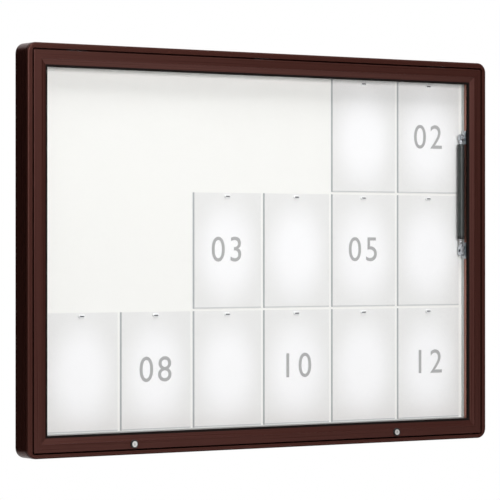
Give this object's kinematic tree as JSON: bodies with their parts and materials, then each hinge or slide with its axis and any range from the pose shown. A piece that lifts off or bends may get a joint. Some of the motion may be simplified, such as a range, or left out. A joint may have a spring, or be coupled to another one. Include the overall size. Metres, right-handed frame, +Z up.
{
  "type": "notice board display case",
  "caption": "Wall notice board display case with a dark brown profile frame, a glazed flap door that lifts on a gas strut, cam locks, and sheets held by magnets on a white board.",
  "frame": {"origin": "centre of the back plane, in the middle of the wall fixing pattern", "axes": "+X to the viewer's right along the width, +Y into the wall, +Z up"},
  "size_m": [1.43, 0.0638, 1.02],
  "materials": {
    "brown_profile": "dark brown satin coat",
    "silver_trim": "natural anodised",
    "zinc_steel": "zinc plated",
    "white_board": "ivory white satin coat",
    "black_trim": "matt black",
    "clear_glass": "clear",
    "white_sheet": "white sheet",
    "black_rubber": "matt black",
    "lock_metal": "polished",
    "strut_tube": "black satin coat",
    "magnet_cap": "light grey"
  },
  "bodies": {
    "case": {"case_top_profile": "brown_profile", "board_retainer_top": "silver_trim", "case_bottom_profile": "brown_profile", "board_retainer_bottom": "silver_trim", "case_left_profile": "brown_profile", "board_retainer_left": "silver_trim", "case_right_profile": "brown_profile", "board_retainer_right": "silver_trim", "case_corner_cleats": "silver_trim", "display_board": "white_board", "retainer_screws": "zinc_steel", "wall_rail_lower": "zinc_steel", "wall_rail_upper": "zinc_steel", "rail_screws": "zinc_steel", "door_seal": "black_rubber", "notice_sheets": "white_sheet", "sheet_magnets": "magnet_cap", "hinge_left_case_leaf": "zinc_steel", "hinge_centre_case_leaf": "zinc_steel", "hinge_right_case_leaf": "zinc_steel", "hinge_pins": "zinc_steel", "hinge_case_screws": "zinc_steel", "case_bracket_screws": "zinc_steel", "strut_case_bracket": "zinc_steel"},
    "door": {"glazing_bead_top": "brown_profile", "glazing_bead_bottom": "brown_profile", "glazing_bead_left": "brown_profile", "glazing_bead_right": "brown_profile", "door_top_rail": "brown_profile", "door_bottom_rail": "brown_profile", "door_left_stile": "brown_profile", "door_right_stile": "brown_profile", "door_corner_cleats": "silver_trim", "glass_pane": "clear_glass", "glazing_gasket_front": "black_rubber", "glazing_gasket_rear": "black_rubber", "hinge_left_door_leaf": "zinc_steel", "hinge_centre_door_leaf": "zinc_steel", "hinge_right_door_leaf": "zinc_steel", "hinge_door_screws": "zinc_steel", "door_bracket_screws": "zinc_steel", "strut_door_bracket": "zinc_steel", "lock_left_housing": "black_trim", "lock_right_housing": "black_trim", "lock_nuts": "zinc_steel"},
    "strut_tube_body": {"strut_tube": "strut_tube", "strut_tube_eye": "zinc_steel"},
    "strut_rod_body": {"strut_rod": "lock_metal", "strut_rod_eye": "zinc_steel"},
    "lock_left_barrel": {"lock_left_plug": "lock_metal", "lock_left_cam": "zinc_steel"},
    "lock_right_barrel": {"lock_right_plug": "lock_metal", "lock_right_cam": "zinc_steel"}
  },
  "joints": [
    {"name": "door_hinge", "type": "hinge", "parent": "case", "child": "door", "pos_m": [0, -0.051, 0.48], "axis": [-1, 0, 0], "range_deg": [0, 80]},
    {"name": "lock_left_turn", "type": "hinge", "parent": "door", "child": "lock_left_barrel", "pos_m": [-0.41, -0.06, -0.4835], "axis": [0, 1, 0], "range_deg": [0, 90]},
    {"name": "lock_right_turn", "type": "hinge", "parent": "door", "child": "lock_right_barrel", "pos_m": [0.41, -0.06, -0.4835], "axis": [0, 1, 0], "range_deg": [0, 90]},
    {"name": "strut_swing", "type": "hinge", "parent": "door", "child": "strut_tube_body", "pos_m": [0.6455, -0.038, 0.307], "axis": [1, 0, 0], "range_deg": [0, 102.6]},
    {"name": "strut_extend", "type": "slide", "parent": "strut_tube_body", "child": "strut_rod_body", "axis": [0, 0, -1], "range_m": [0, 0.1663]}
  ],
  "couplings": [
    {"joint": "strut_swing", "follows": "door_hinge", "ratio": 1.2813},
    {"joint": "strut_extend", "follows": "door_hinge", "m_per_rad": 0.11902}
  ]
}
